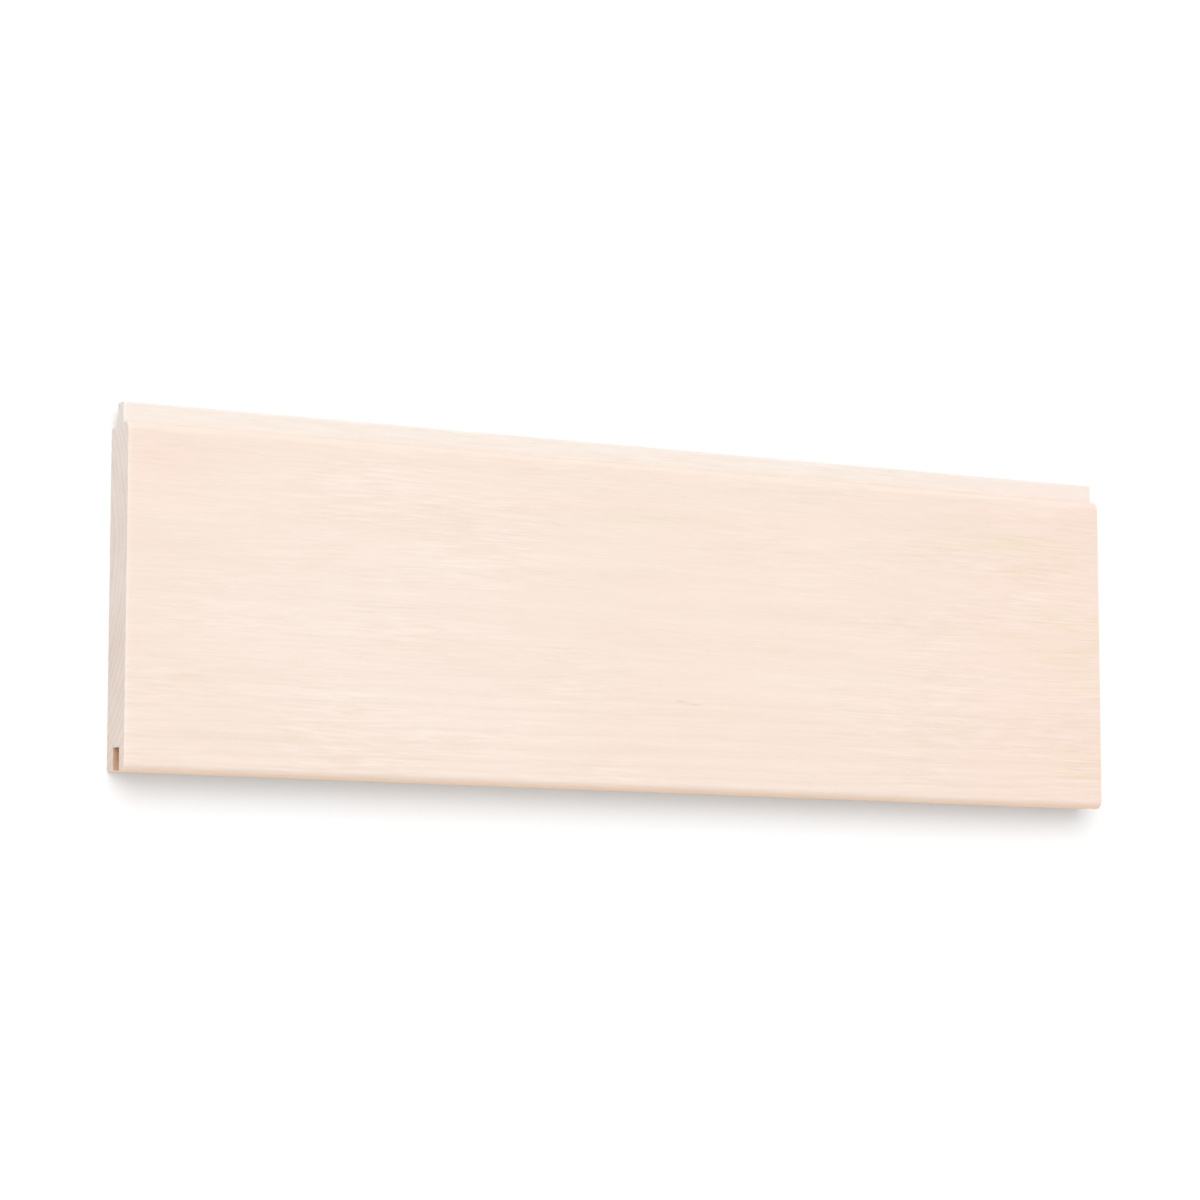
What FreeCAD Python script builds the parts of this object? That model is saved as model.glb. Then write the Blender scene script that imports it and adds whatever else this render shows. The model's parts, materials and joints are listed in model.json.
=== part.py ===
"""Tongue and groove lining board: one length of timber, moulded on all four sides and cut square at its ends.

The board lies on its back with its face up. X runs along the grain, +Y points out of the tongue and +Z out
of the face. The origin is on the back face, under the middle of the board's overall size.

The section is drawn from the back corner on the groove side: across the board to the tongue, and up from the
back to the face. It starts as a plain blank and loses what each cutter takes away: the two rebates that leave
the tongue standing, the groove, and the trimmed end of the back lip. Boards laid side by side meet where the
face lip of one closes against the face shoulder of the next, and everywhere else they stay apart.
"""

import os

import FreeCAD
import Part
import Sketcher

NODE = "board"

# The driving dimensions, in millimetres.
SIZES = (
    ("board_length", 400.0),
    ("cover_width", 118.0),  # face lip to face shoulder, the pitch of boards laid side by side
    ("thickness", 15.0),
    ("tongue_length", 7.0),
    ("tongue_thickness", 5.0),
    ("tongue_setback", 4.6),  # from the face down to the tongue
    ("side_clearance", 0.15),  # between the tongue and each wall of the groove
    ("end_clearance", 1.2),  # between the tongue's tip and the bottom of the groove
    ("back_shoulder_relief", 1.0),  # the back shoulder stands back from the face shoulder
    ("back_lip_relief", 0.5),  # the back lip ends short of the face lip
    ("face_radius", 3.0),  # rounding of both face arrises
    ("tip_radius", 0.8),  # rounding of the tongue's tip
    ("mouth_radius", 0.3),  # rounding of the groove's mouth
    ("back_chamfer", 0.8),  # bevel of both back arrises
)

# Lines of the section, as expressions of the sheet. Across the board, from the face lip to the tongue's tip:
FACE_LIP = "0"
BACK_LIP = "Sizes.back_lip_relief"
GROOVE_BOTTOM = "Sizes.tongue_length + Sizes.end_clearance"
BACK_SHOULDER = "Sizes.cover_width - Sizes.back_shoulder_relief"
FACE_SHOULDER = "Sizes.cover_width"
TONGUE_TIP = "Sizes.cover_width + Sizes.tongue_length"
# Up through the board, from the back to the face:
BACK = "0"
TONGUE_LOW = "Sizes.thickness - Sizes.tongue_setback - Sizes.tongue_thickness"
TONGUE_HIGH = "Sizes.thickness - Sizes.tongue_setback"
GROOVE_LOW = f"{TONGUE_LOW} - Sizes.side_clearance"
GROOVE_HIGH = f"{TONGUE_HIGH} + Sizes.side_clearance"
FACE = "Sizes.thickness"

# The face rounding leaves the face lip a flat edge at least as wide as the rounding of the groove's mouth.
FACE_LIP_ROOM = "Sizes.tongue_setback - Sizes.side_clearance - 2 * Sizes.mouth_radius"
FACE_ROUNDING = f"min(Sizes.face_radius; {FACE_LIP_ROOM})"

# How an edge is taken off: the feature, and its size.
ROUNDING = ("PartDesign::Fillet", "Radius")
BEVEL = ("PartDesign::Chamfer", "Size")

# Two points this close, in millimetres, are the same place.
SAME_PLACE = 1e-4


def make_sheet(doc):
    """The sheet that every size of the board is bound to."""
    sheet = doc.addObject("Spreadsheet::Sheet", "Sizes")
    for row, (alias, value) in enumerate(SIZES, start=1):
        sheet.set(f"A{row}", alias)
        sheet.set(f"B{row}", str(value))
        sheet.setAlias(f"B{row}", alias)
    doc.recompute()
    return sheet


def section_rectangle(body, name, across, up):
    """A sketch of one rectangle, drawn across the grain. across and up are each two lines of the section."""
    sketch = body.newObject("Sketcher::SketchObject", name)
    plane = next(feature for feature in body.Origin.OriginFeatures if feature.Role == "YZ_Plane")
    sketch.AttachmentSupport = (plane, "")
    sketch.MapMode = "FlatFace"
    # The first shape only sets which corner is which: the bound distances below give the real one.
    corners = [FreeCAD.Vector(x, y, 0) for x, y in ((1, 1), (2, 1), (2, 2), (1, 2))]
    low, right, high, left = sketch.addGeometry(
        [Part.LineSegment(corner, corners[i - 3]) for i, corner in enumerate(corners)]
    )
    line_start, line_end = 1, 2
    for line, following in ((low, right), (right, high), (high, left), (left, low)):
        sketch.addConstraint(Sketcher.Constraint("Coincident", line, line_end, following, line_start))
    for line in (low, high):
        sketch.addConstraint(Sketcher.Constraint("Horizontal", line))
    for line in (right, left):
        sketch.addConstraint(Sketcher.Constraint("Vertical", line))
    origin, origin_point = -1, 1
    for kind, line, label, place in (
        ("DistanceX", low, "across_low", across[0]),
        ("DistanceX", high, "across_high", across[1]),
        ("DistanceY", low, "up_low", up[0]),
        ("DistanceY", high, "up_high", up[1]),
    ):
        at = 1.0 if line == low else 2.0
        index = sketch.addConstraint(
            Sketcher.Constraint(kind, origin, origin_point, line, line_start, at)
        )
        sketch.renameConstraint(index, label)
        sketch.setExpression(f"Constraints.{label}", place)
    return sketch


def make_blank(body):
    """The planed blank, as wide as the board over its tongue and as long as the board."""
    blank = body.newObject("PartDesign::Pad", "blank")
    blank.Profile = section_rectangle(body, "blank_section", (FACE_LIP, TONGUE_TIP), (BACK, FACE))
    blank.SideType = "Symmetric"
    blank.setExpression("Length", "Sizes.board_length")


def cut(body, name, across, up):
    """One pass of a cutter along the whole board."""
    volume_before = body.Shape.Volume
    pocket = body.newObject("PartDesign::Pocket", name)
    pocket.Profile = section_rectangle(body, f"{name}_section", across, up)
    pocket.SideType = "Symmetric"
    pocket.Type = "ThroughAll"
    body.Document.recompute()
    if not body.Shape.Volume < volume_before:
        raise RuntimeError(f"{name} cuts nothing")


def long_edges(body, places):
    """The names of the edges that run along the board at places, each a pair of lines, across and up."""
    wanted = [
        FreeCAD.Vector(0, *(float(body.evalExpression(line)) for line in place)) for place in places
    ]
    names = []
    for number, edge in enumerate(body.Shape.Edges, start=1):
        if any(edge.CenterOfMass.isEqual(place, SAME_PLACE) for place in wanted):
            names.append(f"Edge{number}")
    if len(names) != len(places):
        raise RuntimeError(f"{len(names)} edges found at {len(places)} places")
    return names


def ease(body, kind, name, size, *places):
    """Takes off the edges at places. kind is a feature with its size property, and size is an expression."""
    feature_type, size_property = kind
    base = body.Tip
    edges = long_edges(body, places)
    feature = body.newObject(feature_type, name)
    feature.Base = (base, edges)
    feature.setExpression(size_property, size)
    body.Document.recompute()


def make_board(doc):
    """The board as one body, from the blank to the last arris."""
    body = doc.addObject("PartDesign::Body", NODE)
    body.Label = NODE
    make_blank(body)
    doc.recompute()
    cut(body, "face_rebate", (FACE_SHOULDER, TONGUE_TIP), (TONGUE_HIGH, FACE))
    cut(body, "back_rebate", (BACK_SHOULDER, TONGUE_TIP), (BACK, TONGUE_LOW))
    cut(body, "groove", (FACE_LIP, GROOVE_BOTTOM), (GROOVE_LOW, GROOVE_HIGH))
    cut(body, "back_lip_trim", (FACE_LIP, BACK_LIP), (BACK, GROOVE_LOW))

    face_arrises = (FACE_LIP, FACE), (FACE_SHOULDER, FACE)
    ease(body, ROUNDING, "face_arrises", FACE_ROUNDING, *face_arrises)
    tip_arrises = (TONGUE_TIP, TONGUE_HIGH), (TONGUE_TIP, TONGUE_LOW)
    ease(body, ROUNDING, "tongue_tip", "Sizes.tip_radius", *tip_arrises)
    mouth_arrises = (FACE_LIP, GROOVE_HIGH), (BACK_LIP, GROOVE_LOW)
    ease(body, ROUNDING, "groove_mouth", "Sizes.mouth_radius", *mouth_arrises)
    back_arrises = (BACK_LIP, BACK), (BACK_SHOULDER, BACK)
    ease(body, BEVEL, "back_arrises", "Sizes.back_chamfer", *back_arrises)

    # The drawing's corner moves so that the origin comes under the middle of the overall width.
    body.setExpression("Placement.Base.y", f"-({TONGUE_TIP}) / 2")
    doc.recompute()
    return body


def check(doc, board):
    """Stops before anything is written if a feature failed or the board isn't one valid solid."""
    for item in doc.Objects:
        if {"Invalid", "Error"} & set(item.State):
            raise RuntimeError(f"{item.Name} failed: {item.State}")
    shape = board.Shape
    if shape.isNull() or not shape.isValid() or len(shape.Solids) != 1:
        raise RuntimeError("the board isn't one valid solid")


def main():
    doc = FreeCAD.newDocument("tongue_and_groove_board")
    make_sheet(doc)
    board = make_board(doc)
    check(doc, board)
    os.makedirs("parts", exist_ok=True)
    board.Shape.exportStep(f"parts/{board.Label}.step")


main()
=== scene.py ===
"""Looks of a tongue and groove lining board: pale planed timber, lying face up on a plain pale floor.

One swept mesh stands for the CAD board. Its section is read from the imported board, so every line of the
tongue and the groove is where the CAD has it, and its sawn ends get the small broken arris of a real cut.
The timber is one solid pattern in the board's own millimetres: growth rings round a pith outside the board,
fibres and vessels along X, and broad mottling. So the faces, the edges and the end grain all belong to the
same piece of wood.
"""

import json
import math
from typing import NamedTuple

import bpy
import numpy as np
from mathutils import Matrix, Vector
from mathutils.geometry import delaunay_2d_cdt


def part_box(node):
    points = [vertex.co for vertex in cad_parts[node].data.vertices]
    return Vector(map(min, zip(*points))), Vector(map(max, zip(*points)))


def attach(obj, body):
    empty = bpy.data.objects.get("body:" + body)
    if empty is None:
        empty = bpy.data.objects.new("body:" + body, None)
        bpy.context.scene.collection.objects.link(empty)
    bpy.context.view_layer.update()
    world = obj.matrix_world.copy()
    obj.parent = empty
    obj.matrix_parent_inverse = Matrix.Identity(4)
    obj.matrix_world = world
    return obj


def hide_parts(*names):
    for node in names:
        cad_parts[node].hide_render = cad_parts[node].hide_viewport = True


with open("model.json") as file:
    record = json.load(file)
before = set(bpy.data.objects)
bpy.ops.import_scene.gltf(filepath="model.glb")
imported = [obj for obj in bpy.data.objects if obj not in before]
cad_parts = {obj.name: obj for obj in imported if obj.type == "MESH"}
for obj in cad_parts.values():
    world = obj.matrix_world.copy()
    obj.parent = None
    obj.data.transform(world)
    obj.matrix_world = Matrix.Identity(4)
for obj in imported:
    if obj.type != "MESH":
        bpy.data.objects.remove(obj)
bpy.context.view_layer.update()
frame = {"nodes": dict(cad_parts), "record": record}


class Pattern(NamedTuple):
    """A noise pattern: how large its lumps are along and across the fibres, in millimetres, and its seed."""

    along: float
    across: float
    seed: int
    detail: float = 2.0


NODE = "board"
GROOVE = "groove_slot"  # the record's name for the opening of the groove
MM = 0.001

# The mesh, in metres.
SAME_PLACE = 1e-6  # points closer than this are one
SECTION_TOLERANCE = 0.008 * MM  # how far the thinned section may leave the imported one
INNER_CORNER = math.radians(45)  # at an inner corner the outline turns back by more than this
STEP_ACROSS = 1.6 * MM  # largest step across a flat of the section
STEP_ALONG = 2.5 * MM  # largest step along the board
END_EASING = 0.20 * MM  # rounding of the arris round each sawn end, smaller than any of the section's
EASING_STEPS = 3
END_GRID = 0.8 * MM  # spacing of the points inside an end
END_CLEAR = END_GRID / 3  # how far those points stay from the end's outline
FILL_INSIDE = 1  # what delaunay_2d_cdt calls triangles inside the outline alone
SAW_DEPTH = 0.04 * MM  # depth of the saw's marks in an end
SAW_PITCH = 2.6 * MM
SAW_AXLE = (-40 * MM, -150 * MM)  # of the round blade that left the marks, across and up
PLANING_DEPTH = 0.03 * MM  # depth of the unevenness that planing leaves
PLANING_SWELLS = ((43 * MM, 31 * MM), (19 * MM, 11 * MM))  # a radian of its waves, along and across
SHARP_ANGLE = math.radians(35)

# The texture map. Its places are shares of its side.
MAP_NAME = "OFBake"  # the name of the texture map
MAP_SIZE = 430 * MM  # the length that fills the map's side
MAP_MARGIN = 0.02
MAP_FAR_END = 0.5  # how far the far end lies beside the near one

# The view, in metres, with the lens and the sensor in millimetres. The camera stands where it stood to the
# board in the photograph, and looks at a point near the board's middle that brings the whole board to the
# middle of the picture.
IMAGE_UP = Vector((0, 1, 0))
CAMERA_PLACE = Vector((-0.684, -0.158, 1.211))
VIEW_OFFSET = Vector((-0.015, 0.006, 0))
CAMERA_LENS = 116.0
CAMERA_SENSOR = 36.0

# The light: white from all round, and a broad soft lamp high up, on the side of the tongue and the near end.
SKY_WHITE = (1, 1, 1, 1)
SKY_STRENGTH = 0.78
LAMP_FROM = Vector((-0.35, 0.50, 1.0))
LAMP_STRENGTH = 1.58
LAMP_SPREAD = math.radians(50)

# The floor.
FLOOR_HALF = 25.0  # half of its side, in metres
FLOOR_WHITE = (0.90, 0.90, 0.90, 1)
FLOOR_ROUGHNESS = 0.9
FLOOR_SPECULAR = 0.2

# The timber's colours, as the light they give back.
FACE_CREAM = (0.793, 0.662, 0.574, 1)
RAW_TIMBER = (0.788, 0.705, 0.637, 1)
END_GRAIN = (0.730, 0.644, 0.595, 1)
# Tints: what each multiplies the timber's colour by where it is strongest.
PALE_TINT = (1.004, 1.028, 1.042, 1)
PINK_TINT = (1.003, 0.960, 0.964, 1)
OLIVE_TINT = (0.940, 0.985, 0.850, 1)
FLECK_TINT = (0.91, 0.89, 0.86, 1)
# Painted highlight: paler along the arris round each sawn end.
END_ARRIS_HIGHLIGHT = (1.012, 1.035, 1.045, 1)
# Painted shade: warmer and more saturated on the lips beside the groove, as a shaded edge.
LIP_PAINTED_WARM_SHADE = (1.070, 0.972, 0.865, 1)
# Painted shade: darker and browner inside the groove, as a recess in shade.
GROOVE_PAINTED_SHADE = (0.72, 0.52, 0.38, 1)
WARM_END_TINT = (0.970, 0.939, 0.905, 1)
BROAD_SHARE = 0.9  # of its tint that a broad mark gets in its middle
THIN_SHARE = 0.7  # of its tint that a thin streak gets in its middle
PATTERN_SHARE = 0.8  # of a pattern that is added to the share of a tint, all over
# How much each colour gives way where the grain is darker.
GRAIN_HUE = (0.72, 0.95, 1.3)

# The timber's surface.
BASE_ROUGHNESS = 0.52
SPECULAR = 0.35
BUMP_STRENGTH = 0.35
BUMP_DEPTH = 0.06 * MM

# The tree, in the board's millimetres.
PITH = (20.0, -46.0)  # across and up, below the board
PITH_RUN = (0.020, 0.012)  # how far the pith drifts across and up for each millimetre along
RING_WIDTH = 3.3
RING_REACH = 55.0  # about how far the board's middle is from the pith
RING_SPREAD = 5.0  # how unevenly the rings are spaced
LATE_WOOD = (0.35, 0.93)  # the share of a year in which the late wood darkens
YEAR_END = (0.94, 1.0)  # and in which it ends

# Where the timber changes, in the board's millimetres: where each smooth step starts, and where it is over.
FACE_STEP = (10.8, 12.4)  # up from the back, to the planed face with its rounded arrises
END_HIGHLIGHT_STEP = (0.47, 1.4)  # in from an end, out of the painted highlight along its arris
LIP_SHADE_STEP = (0.44, 2.2)  # in from the lips, out of their painted warm shade
SHADE_STEP = (0.0, 1.2)  # in from the lips, to the groove's full shade
WALL_STEP = (0.3, 0.7)  # into the groove's walls, out of its shade
BOTTOM_STEP = (1.0, 3.0)  # past the groove's bottom, out of its shade
WARM_END_STEP = (60.0, -60.0)  # across an end, to warmer end grain at the groove
RING_STEP = (5.0, 55.0)  # from the middle towards the groove, to where the rings show most
RING_SHOW = (0.25, 1.0)  # how much they show before that step and after it
RING_DRIFT = 40.0  # how far mottle moves that step

# The same for how far a surface faces along the board or up, from -1 to 1.
END_STEP = (0.55, 0.85)  # along, to end grain
BACK_STEP = (-0.9, -0.7)  # up, away from the back

# The same for the noise of a pattern, about zero.
FIGURE_STEP = (-0.16, 0.18)  # to strong figure
FIGURE_STRENGTH = (0.5, 1.4)  # of the streaks and the shimmer, before that step and after it
VESSEL_STEP = (0.15, 0.28)  # of the fibres, to open vessels
DARK_STEP = (-0.13, 0.03)  # of the lines, away from dark ones

# The timber's patterns.
NOISE_MIDDLE = 0.5  # of the values that a noise texture gives
SEED_STEP = (17.3, 5.1, 11.7)  # how many lumps one more of a seed moves a pattern by
WAVE = Pattern(110, 34, seed=1, detail=1.0)
WAVE_REACH = 2.0  # about how far the wave moves the other patterns, in millimetres
UNEVEN_YEARS = Pattern(8, 1, seed=3, detail=1.0)  # outwards from the pith
STREAKS = Pattern(13, 0.9, seed=4)
FIBRES = Pattern(4, 0.22, seed=5, detail=0.0)
BANDS = Pattern(120, 5, seed=6, detail=1.0)
MOTTLE = Pattern(64, 20, seed=7, detail=1.0)
SHIMMER = Pattern(22, 4, seed=8, detail=1.0)
PORES = Pattern(0.5, 0.32, seed=10)
FIGURE = Pattern(55, 17, seed=11, detail=0.0)
LINES = Pattern(36, 0.6, seed=12)
RAYS = Pattern(0.35, 12, seed=13, detail=1.0)  # round the pith and outwards from it
KNIFE_PITCH = 1.9  # of the planer's marks on the back, in millimetres
CALM = 0.4  # how much of the figure is missing in the middle of a calm patch

# What each pattern adds: to the tone of the long sides, to that of an end, to the height and the roughness.
SIDE_TONE = {
    "rings": -0.030,
    "lines": 0.086,
    "streaks": 0.168,
    "shimmer": 0.034,
    "fibres": 0.058,
    "bands": 0.072,
    "mottle": 0.038,
    "vessels": -0.040,
    "knife": 0.010,
}
END_TONE = {"late": -0.085, "pores": 0.22, "rays": 0.10, "mottle": 0.20}
HEIGHT = {"streaks": 0.6, "fibres": 0.4, "vessels": -0.8, "end_pores": 1.5, "knife": 0.5}
ROUGHNESS = {"fibres": 0.10, "streaks": 0.10, "end": 0.18}

# Marks of the timber, in the board's millimetres: the middle of each, along and across, and its reach.
CALM_PATCHES = (((35, 0), (130, 130)),)
PALE_PATCHES = (((-105, -10), (140, 95)),)
PINK_PATCHES = (((205, -5), (130, 220)), ((-188, 45), (24, 11)))
OLIVE_STREAKS = (
    ((160, 37), (72, 9)),
    ((200, 4), (62, 58)),
    ((192, -46), (42, 15)),
    ((8, 34), (30, 5)),
)
THIN_STREAKS = (
    ((178, -5.5), (17, 0.8)),
    ((128, -6.0), (16, 0.7)),
    ((161, 1.5), (13, 0.8)),
    ((187, 12.5), (11, 0.9)),
    ((92, 30.5), (8, 0.8)),
    ((152, 35.0), (36, 1.0)),
    ((160, 26.0), (11, 0.9)),
    ((181, -50.0), (16, 0.8)),
    ((165, -44.5), (15, 0.9)),
)
FLECKS = (((14.5, -30.5), (3.2, 1.0)), ((19.5, -31.4), (6.0, 0.7)))

# A Mix node's sockets for colours. They go by number, because those for numbers have the same names.
MIX_FIRST = 6
MIX_SECOND = 7
MIX_RESULT = 2


def outline_of_end(node):
    """The section of a CAD node as ordered (across, up) points, from the faces of its low end."""
    mesh = frame["nodes"][node].data
    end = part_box(node)[0].x
    places = [(round(v.co.y / SAME_PLACE), round(v.co.z / SAME_PLACE)) for v in mesh.vertices]
    on_end = [abs(v.co.x - end) < SAME_PLACE for v in mesh.vertices]
    sides = set()
    for polygon in mesh.polygons:
        if all(on_end[v] for v in polygon.vertices):
            corners = [places[v] for v in polygon.vertices]
            sides.update(zip(corners, corners[1:] + corners[:1]))
    following = {a: b for a, b in sides if (b, a) not in sides}
    outline = [min(following)]
    while following[outline[-1]] != outline[0]:
        outline.append(following[outline[-1]])
    return np.array(outline) * SAME_PLACE


def turns(outline):
    """The angle that the outline turns by at each point, with the sign of its way round."""
    ahead = np.roll(outline, -1, axis=0) - outline
    heading = np.arctan2(ahead[:, 1], ahead[:, 0])
    return (heading - np.roll(heading, 1) + math.pi) % (2 * math.pi) - math.pi


def thinned(outline):
    """The outline without the points that it hardly needs."""
    kept = [outline[0]]
    waiting = []
    for point in [*outline[1:], outline[0]]:
        chord = point - kept[-1]
        normal = np.array((-chord[1], chord[0])) / np.hypot(*chord)
        if any(abs((passed - kept[-1]) @ normal) > SECTION_TOLERANCE for passed in waiting):
            kept.append(waiting[-1])
            waiting = []
        waiting.append(point)
    return np.array(kept)


def divided(outline):
    """The outline with its long flats divided into even steps."""
    points = []
    for start, end in zip(outline, np.roll(outline, -1, axis=0)):
        count = max(1, math.ceil(np.hypot(*(end - start)) / STEP_ACROSS))
        points += [start + (end - start) * i / count for i in range(count)]
    return np.array(points)


def from_groove(outline):
    """The outline, started at the inner corner of the groove, where a seam is out of sight."""
    turn = turns(outline)
    way_round = np.sign(turn.sum())
    inner = np.where(turn * way_round < -INNER_CORNER, outline[:, 0], np.inf)
    return np.roll(outline, -int(np.argmin(inner)), axis=0)


def inward(outline):
    """For each point, the step into the material that moves both its sides in by one."""
    ahead = np.roll(outline, -1, axis=0) - outline
    ahead /= np.hypot(*ahead.T)[:, None]
    behind = np.roll(ahead, 1, axis=0)
    way_round = np.sign(turns(outline).sum())
    normal = way_round * np.stack((-ahead[:, 1] - behind[:, 1], ahead[:, 0] + behind[:, 0]), axis=1)
    return normal / (1 + (ahead * behind).sum(axis=1))[:, None]


def stations(low, high):
    """The places along the board where its section is drawn, and how far the section is drawn in at each."""
    angles = np.linspace(0, math.pi / 2, EASING_STEPS + 1)
    depth = END_EASING * (1 - np.cos(angles))
    drawn_in = END_EASING * (1 - np.sin(angles))
    length = high - low - 2 * END_EASING
    count = math.ceil(length / STEP_ALONG)
    between = low + END_EASING + length * np.arange(1, count) / count
    places = np.concatenate((low + depth, between, (high - depth)[::-1]))
    insets = np.concatenate((drawn_in, np.zeros(count - 1), drawn_in[::-1]))
    return places, insets


def planing_wave(along, across):
    """How far planing took the surface down, between 0 and 1: slow, shallow swells."""
    swells = [np.sin(along / a + np.sin(across / c)) for a, c in PLANING_SWELLS]
    return (1 + np.mean(swells, axis=0)) / 2


def saw_marks(across, up):
    """How far the saw cut into an end, between 0 and 1: shallow arcs of a round blade."""
    from_axle = np.hypot(across - SAW_AXLE[0], up - SAW_AXLE[1])
    return (1 + np.sin(2 * math.pi * from_axle / SAW_PITCH)) / 2


def from_sides(points, outline):
    """How far each point is from the nearest side of the outline."""
    sides = np.roll(outline, -1, axis=0) - outline
    away = points[:, None] - outline
    along = np.clip((away * sides).sum(axis=2) / (sides**2).sum(axis=1), 0, 1)
    away -= along[:, :, None] * sides
    return np.hypot(away[:, :, 0], away[:, :, 1]).min(axis=1)


def filled_end(outline):
    """Points inside an end's outline, and the triangles that fill it. The outline's points come first."""
    low, high = outline.min(axis=0), outline.max(axis=0)
    across, up = (np.arange(a + END_GRID / 2, b, END_GRID) for a, b in zip(low, high))
    grid = np.stack(np.meshgrid(across, up), axis=-1).reshape(-1, 2)
    grid = grid[from_sides(grid, outline) > END_CLEAR]
    corners = [Vector(point) for point in np.concatenate((outline, grid))]
    count = len(outline)
    sides = [(i, (i + 1) % count) for i in range(count)]
    points, _, faces, origins, *_ = delaunay_2d_cdt(corners, sides, [], FILL_INSIDE, SAME_PLACE)
    # The filling numbers its points anew, and old has the number that each had before.
    old = [min(origin) for origin in origins]
    used = sorted({corner for face in faces for corner in face if old[corner] >= count})
    number = {corner: o for corner, o in enumerate(old) if o < count}
    number.update({corner: count + i for i, corner in enumerate(used)})
    inside = np.array([points[corner] for corner in used])
    return inside, [tuple(number[corner] for corner in face) for face in faces]


def timber_mesh():
    """The board's mesh: the section swept between its two sawn ends, with a texture map unrolled round it."""
    low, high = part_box(NODE)
    outline = divided(from_groove(thinned(outline_of_end(NODE))))
    step_in = inward(outline)
    places, insets = stations(low.x, high.x)
    count = len(outline)

    rings = []
    for place, inset in zip(places, insets):
        wave = planing_wave(place, outline[:, 0]) * PLANING_DEPTH
        section = outline + step_in * np.minimum(wave + inset, END_EASING)[:, None]
        rings.append(np.column_stack((np.full(count, place), section)))
    points = np.concatenate(rings)

    faces = []
    for ring in range(len(places) - 1):
        base = ring * count
        for i in range(count):
            j = (i + 1) % count
            faces.append((base + i, base + count + i, base + count + j, base + j))
    side_faces = len(faces)

    for ring, end, direction in ((0, low.x, 1), (len(places) - 1, high.x, -1)):
        inside, triangles = filled_end(rings[ring][:, 1:])
        depth = direction * SAW_DEPTH * saw_marks(*inside.T)
        first = len(points)
        points = np.concatenate((points, np.column_stack((end + depth, inside))))
        number = [ring * count + i for i in range(count)] + list(range(first, first + len(inside)))
        for triangle in triangles:
            faces.append(tuple(number[corner] for corner in triangle[::-direction]))

    mesh = bpy.data.meshes.new("board_timber")
    mesh.from_pydata(points.tolist(), [], faces)
    if mesh.validate():
        raise RuntimeError("the board's mesh has faulty faces")
    map_timber(mesh, outline, side_faces)
    mesh.shade_smooth()
    mesh.set_sharp_from_angle(angle=SHARP_ANGLE)
    return mesh


def map_timber(mesh, outline, side_faces):
    """The texture map: the long sides unrolled from the groove, and the two ends above them, at one scale."""
    steps = np.hypot(*(np.roll(outline, -1, axis=0) - outline).T)
    round_it = np.concatenate(([0.0], np.cumsum(steps)))
    count = len(outline)
    low = np.array([v.co for v in mesh.vertices]).min(axis=0)
    layer = mesh.uv_layers.new(name=MAP_NAME)
    above = MAP_MARGIN + round_it[-1] / MAP_SIZE + MAP_MARGIN
    for number, polygon in enumerate(mesh.polygons):
        for loop in polygon.loop_indices:
            place = mesh.vertices[mesh.loops[loop].vertex_index].co
            if number < side_faces:
                start = polygon.vertices[0] % count
                at = mesh.loops[loop].vertex_index % count
                along = round_it[count] if at == 0 and start == count - 1 else round_it[at]
                spot = ((place.x - low[0]) / MAP_SIZE + MAP_MARGIN, along / MAP_SIZE + MAP_MARGIN)
            else:
                right = MAP_FAR_END if place.x > 0 else 0.0
                across = (place.y - low[1]) / MAP_SIZE + MAP_MARGIN + right
                spot = (across, (place.z - low[2]) / MAP_SIZE + above)
            layer.uv[loop].vector = spot


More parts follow.
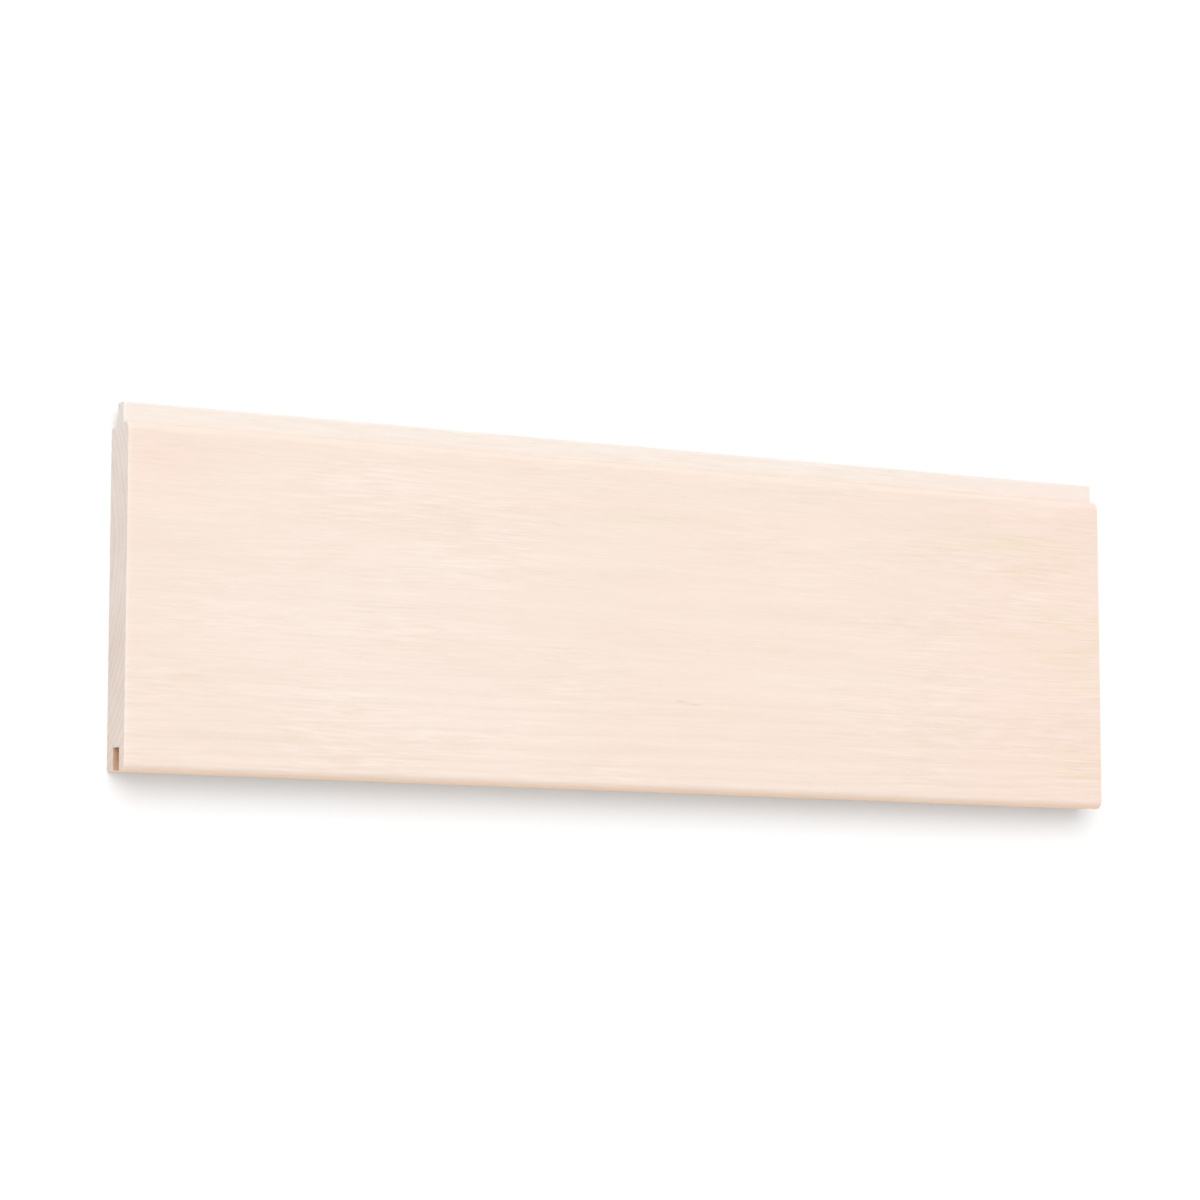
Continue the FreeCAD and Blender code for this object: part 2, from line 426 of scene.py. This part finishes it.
class Graph:
    """The nodes of one material. Most methods add a node or a few, and give the main output."""

    def __init__(self, name):
        self.material = bpy.data.materials.new(name)
        self.material.use_nodes = True
        self.tree = self.material.node_tree
        self.tree.nodes.clear()

    def add(self, kind, inputs=(), **settings):
        """A new node. Each input is linked to the socket it is given, or set to the value."""
        node = self.tree.nodes.new(kind)
        for setting, value in settings.items():
            setattr(node, setting, value)
        for socket, value in dict(inputs).items():
            if isinstance(value, bpy.types.NodeSocket):
                self.tree.links.new(value, node.inputs[socket])
            else:
                node.inputs[socket].default_value = value
        return node

    def math(self, operation, *values):
        return self.add("ShaderNodeMath", enumerate(values), operation=operation).outputs[0]

    def vector(self, operation, *values):
        return self.add("ShaderNodeVectorMath", enumerate(values), operation=operation).outputs[0]

    def length(self, vector):
        return self.add("ShaderNodeVectorMath", {0: vector}, operation="LENGTH").outputs["Value"]

    def combined(self, along=0.0, across=0.0, up=0.0):
        return self.add("ShaderNodeCombineXYZ", {0: along, 1: across, 2: up}).outputs[0]

    def parts(self, vector):
        return self.add("ShaderNodeSeparateXYZ", {0: vector}).outputs

    def ramp(self, value, low, high, to_low=0.0, to_high=1.0):
        """value from low to high as a smooth step from to_low to to_high."""
        inputs = {"Value": value, "From Min": low, "From Max": high, "To Min": to_low, "To Max": to_high}
        return self.add("ShaderNodeMapRange", inputs, interpolation_type="SMOOTHSTEP").outputs[0]

    def fade(self, value, low, high):
        """value from low to high as a smooth step from 1 to 0."""
        return self.ramp(value, low, high, 1.0, 0.0)

    def texture(self, at, pattern):
        """The outputs of a noise texture with that pattern's lumps."""
        spread = self.vector("MULTIPLY", at, (1 / pattern.along, 1 / pattern.across, 1 / pattern.across))
        moved = self.vector("ADD", spread, [pattern.seed * step for step in SEED_STEP])
        inputs = {"Vector": moved, "Scale": 1.0, "Detail": pattern.detail}
        return self.add("ShaderNodeTexNoise", inputs).outputs

    def noise(self, at, pattern):
        """Noise about zero."""
        return self.math("SUBTRACT", self.texture(at, pattern)["Fac"], NOISE_MIDDLE)

    def warp(self, at, pattern, reach):
        """Places moved across and up by up to about reach, by that pattern."""
        middle = (NOISE_MIDDLE, NOISE_MIDDLE, NOISE_MIDDLE)
        step = self.vector("SUBTRACT", self.texture(at, pattern)["Color"], middle)
        return self.vector("MULTIPLY_ADD", step, (0, 2 * reach, 2 * reach), at)

    def sum(self, *terms):
        """The sum of weight times value over (value, weight) pairs."""
        total = 0.0
        for value, weight in terms:
            total = self.math("MULTIPLY_ADD", value, weight, total)
        return total

    def weighed(self, values, weights):
        """The sum of the named values, each times its weight."""
        return self.sum(*((values[name], weight) for name, weight in weights.items()))

    def mixed(self, factor, first, second, blend="MIX"):
        inputs = {"Factor": factor, MIX_FIRST: first, MIX_SECOND: second}
        return self.add("ShaderNodeMix", inputs, data_type="RGBA", blend_type=blend).outputs[MIX_RESULT]

    def tinted(self, colour, factor, tint):
        return self.mixed(factor, colour, tint, blend="MULTIPLY")

    def marks(self, at, marks):
        """1 in the middle of each mark, falling to 0 at its reach, through the whole thickness."""
        found = 0.0
        for middle, reach in marks:
            away = self.vector("SUBTRACT", at, (*middle, 0))
            away = self.length(self.vector("MULTIPLY", away, (1 / reach[0], 1 / reach[1], 0)))
            found = self.math("MAXIMUM", found, self.fade(away, 0.0, 1.0))
        return found


def around_pith(graph, along, wavy):
    """How far a place is from the pith, in millimetres, and in which direction, in radians."""
    _, across, up = graph.parts(wavy)
    from_pith = [
        graph.math("SUBTRACT", graph.math("MULTIPLY_ADD", along, -run, value), pith)
        for value, run, pith in zip((across, up), PITH_RUN, PITH)
    ]
    return graph.length(graph.combined(*from_pith)), graph.math("ARCTAN2", *from_pith)


def late_wood(graph, radius):
    """The late wood of each year, 0 to 1: slow to darken, quick to end."""
    uneven = graph.noise(graph.combined(radius), UNEVEN_YEARS)
    age = graph.math("DIVIDE", graph.sum((radius, 1.0), (uneven, RING_SPREAD)), RING_WIDTH)
    season = graph.math("FRACT", age)
    return graph.math("SUBTRACT", graph.ramp(season, *LATE_WOOD), graph.ramp(season, *YEAR_END))


def timber_patterns(graph, place, wavy, normal):
    """Every pattern of the timber by name, about zero or from 0 to 1."""
    along, across, _ = graph.parts(place)
    radius, direction = around_pith(graph, along, wavy)
    late = late_wood(graph, radius)
    fibres = graph.noise(wavy, FIBRES)
    mottle = graph.noise(wavy, MOTTLE)
    pores = graph.noise(place, PORES)
    # The figure is strong in some places and faint in others, and calmer in the middle of the board.
    figure = graph.ramp(graph.noise(wavy, FIGURE), *FIGURE_STEP, *FIGURE_STRENGTH)
    calm = graph.math("MULTIPLY_ADD", graph.marks(wavy, CALM_PATCHES), -CALM, 1.0)
    figure = graph.math("MULTIPLY", figure, calm)
    # The rings show most towards the groove, where they meet the face more squarely.
    grooveward = graph.sum((mottle, RING_DRIFT), (across, -1.0))
    ring_show = graph.ramp(grooveward, *RING_STEP, *RING_SHOW)
    # An end faces along the board, and the back faces down.
    facing_along, _, facing_up = graph.parts(normal)
    end = graph.ramp(graph.math("ABSOLUTE", facing_along), *END_STEP)
    back = graph.fade(facing_up, *BACK_STEP)
    knife = graph.math("SINE", graph.math("MULTIPLY", along, 2 * math.pi / KNIFE_PITCH))
    round_pith = graph.combined(graph.math("MULTIPLY", direction, RING_REACH), radius)
    return {
        "late": late,
        "rings": graph.math("MULTIPLY", late, ring_show),
        "lines": graph.noise(wavy, LINES),
        "streaks": graph.math("MULTIPLY", graph.noise(wavy, STREAKS), figure),
        "shimmer": graph.math("MULTIPLY", graph.noise(wavy, SHIMMER), figure),
        "fibres": fibres,
        "vessels": graph.ramp(fibres, *VESSEL_STEP),
        "bands": graph.noise(wavy, BANDS),
        "mottle": mottle,
        "pores": pores,
        "end_pores": graph.math("MULTIPLY", pores, end),
        "rays": graph.noise(round_pith, RAYS),
        "knife": graph.math("MULTIPLY", knife, back),
        "end": end,
    }


def painted_lip_and_groove_shade(graph, place):
    """How near a place is to the lips' edge, and how far it is inside the groove, each 0 to 1: where painted
    warm shade goes on the lips and painted dark shade in the groove.
    """
    openings = {opening["name"]: opening["box_m"] for opening in frame["record"]["physics"]["openings"]}
    (_, lips, low), (_, bottom, high) = (Vector(corner) / MM for corner in openings[GROOVE])
    _, across, up = graph.parts(place)
    from_lips = graph.math("SUBTRACT", across, lips)
    # The lips' painted warm shade grows from the back up to the groove.
    lips_warm_shade = graph.math("MULTIPLY", graph.fade(from_lips, *LIP_SHADE_STEP), graph.ramp(up, 0.0, low))
    from_middle = graph.math("ABSOLUTE", graph.math("SUBTRACT", up, (low + high) / 2))
    into_wall = graph.math("SUBTRACT", from_middle, (high - low) / 2)
    past_bottom = graph.math("SUBTRACT", across, bottom)
    inside = graph.math("MULTIPLY", graph.ramp(from_lips, *SHADE_STEP), graph.fade(past_bottom, *BOTTOM_STEP))
    return lips_warm_shade, graph.math("MULTIPLY", inside, graph.fade(into_wall, *WALL_STEP))


def timber_colour(graph, place, wavy, patterns):
    """The timber's colour before its grain: the planed face, the raw edges and the end grain, tinted, with
    painted shade on the lips and in the groove and a painted highlight round each sawn end.
    """
    along, across, up = graph.parts(place)
    planed = graph.ramp(up, *FACE_STEP)
    colour = graph.mixed(planed, RAW_TIMBER, FACE_CREAM)
    pale = graph.marks(wavy, PALE_PATCHES)
    pale = graph.sum((pale, BROAD_SHARE), (patterns["mottle"], PATTERN_SHARE))
    colour = graph.tinted(colour, pale, PALE_TINT)
    pink = graph.marks(wavy, PINK_PATCHES)
    pink = graph.sum((pink, BROAD_SHARE), (patterns["bands"], PATTERN_SHARE))
    colour = graph.tinted(colour, pink, PINK_TINT)
    # The olive streaks and the fleck are on the face alone.
    dark_lines = graph.fade(patterns["lines"], *DARK_STEP)
    broad = graph.math("MULTIPLY", graph.marks(wavy, OLIVE_STREAKS), dark_lines)
    thin = graph.marks(wavy, THIN_STREAKS)
    olive = graph.sum((broad, BROAD_SHARE), (thin, THIN_SHARE))
    colour = graph.tinted(colour, graph.math("MULTIPLY", olive, planed), OLIVE_TINT)
    fleck = graph.math("MULTIPLY", graph.marks(wavy, FLECKS), planed)
    colour = graph.tinted(colour, fleck, FLECK_TINT)
    # Painted shade: warm on the lips and dark inside the groove.
    lips, groove = painted_lip_and_groove_shade(graph, place)
    colour = graph.tinted(colour, lips, LIP_PAINTED_WARM_SHADE)
    colour = graph.tinted(colour, groove, GROOVE_PAINTED_SHADE)
    # A painted highlight along the arris round each sawn end.
    half_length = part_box(NODE)[1].x / MM
    from_end = graph.math("SUBTRACT", half_length, graph.math("ABSOLUTE", along))
    colour = graph.tinted(colour, graph.fade(from_end, *END_HIGHLIGHT_STEP), END_ARRIS_HIGHLIGHT)
    end_grain = graph.tinted(END_GRAIN, graph.ramp(across, *WARM_END_STEP), WARM_END_TINT)
    return graph.mixed(patterns["end"], colour, end_grain)


def timber_material():
    """Pale planed timber as a solid pattern in the board's own millimetres."""
    graph = Graph("pale_timber")
    coordinates = graph.add("ShaderNodeTexCoord").outputs
    place = graph.vector("MULTIPLY", coordinates["Object"], (1 / MM, 1 / MM, 1 / MM))
    wavy = graph.warp(place, WAVE, WAVE_REACH)
    patterns = timber_patterns(graph, place, wavy, coordinates["Normal"])

    colour = timber_colour(graph, place, wavy, patterns)
    tones = {"A": graph.weighed(patterns, SIDE_TONE), "B": graph.weighed(patterns, END_TONE)}
    tones["Factor"] = patterns["end"]
    tone = graph.add("ShaderNodeMix", tones, data_type="FLOAT").outputs["Result"]
    shade = graph.vector("MULTIPLY_ADD", GRAIN_HUE, graph.combined(tone, tone, tone), (1, 1, 1))
    height = graph.weighed(patterns, HEIGHT)
    bump = {"Strength": BUMP_STRENGTH, "Distance": BUMP_DEPTH, "Height": height}
    shader = graph.add("ShaderNodeBsdfPrincipled", {
        "Base Color": graph.vector("MULTIPLY", colour, shade),
        "Roughness": graph.math("ADD", graph.weighed(patterns, ROUGHNESS), BASE_ROUGHNESS),
        "Specular IOR Level": SPECULAR,
        "Normal": graph.add("ShaderNodeBump", bump).outputs[0],
    })
    graph.add("ShaderNodeOutputMaterial", {"Surface": shader.outputs[0]})
    return graph.material


def floor_material():
    """The floor's plain matt white."""
    graph = Graph("pale_floor")
    shader = graph.add("ShaderNodeBsdfPrincipled", {
        "Base Color": FLOOR_WHITE,
        "Roughness": FLOOR_ROUGHNESS,
        "Specular IOR Level": FLOOR_SPECULAR,
    })
    graph.add("ShaderNodeOutputMaterial", {"Surface": shader.outputs[0]})
    return graph.material


def link(name, data):
    """A new object of the scene."""
    made = bpy.data.objects.new(name, data)
    bpy.context.scene.collection.objects.link(made)
    return made


def make_timber():
    """The board itself, which stands for the CAD node."""
    mesh = timber_mesh()
    mesh.materials.append(timber_material())
    timber = link("board_timber", mesh)
    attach(timber, "root")
    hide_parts(NODE)


def make_floor():
    """A plain pale floor under the board."""
    mesh = bpy.data.meshes.new("floor")
    corners = [(x * FLOOR_HALF, y * FLOOR_HALF, 0) for x, y in ((-1, -1), (1, -1), (1, 1), (-1, 1))]
    mesh.from_pydata(corners, [], [(0, 1, 2, 3)])
    mesh.materials.append(floor_material())
    link("floor", mesh)


def aimed(name, data, place, target):
    """A camera or lamp at a place, looking at a target, with +Y upwards in its view."""
    made = link(name, data)
    back = (place - target).normalized()
    right = IMAGE_UP.cross(back).normalized()
    turned = Matrix((right, back.cross(right), back)).transposed().to_4x4()
    made.matrix_world = Matrix.Translation(place) @ turned
    return made


def make_light(middle):
    """Soft studio light."""
    world = bpy.data.worlds.new("studio")
    world.use_nodes = True
    background = world.node_tree.nodes["Background"]
    background.inputs["Color"].default_value = SKY_WHITE
    background.inputs["Strength"].default_value = SKY_STRENGTH
    bpy.context.scene.world = world
    lamp = bpy.data.lights.new("soft_lamp", "SUN")
    lamp.energy = LAMP_STRENGTH
    lamp.angle = LAMP_SPREAD
    aimed("soft_lamp", lamp, middle + LAMP_FROM, middle)


def make_camera(middle):
    """The camera, at the photograph's viewing angle."""
    data = bpy.data.cameras.new("camera")
    data.lens = CAMERA_LENS
    data.sensor_width = CAMERA_SENSOR
    bpy.context.scene.camera = aimed("camera", data, CAMERA_PLACE, middle + VIEW_OFFSET)


make_timber()
make_floor()
lowest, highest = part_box(NODE)
board_middle = (lowest + highest) / 2
make_light(board_middle)
make_camera(board_middle)
bpy.context.scene.view_settings.view_transform = "Standard"
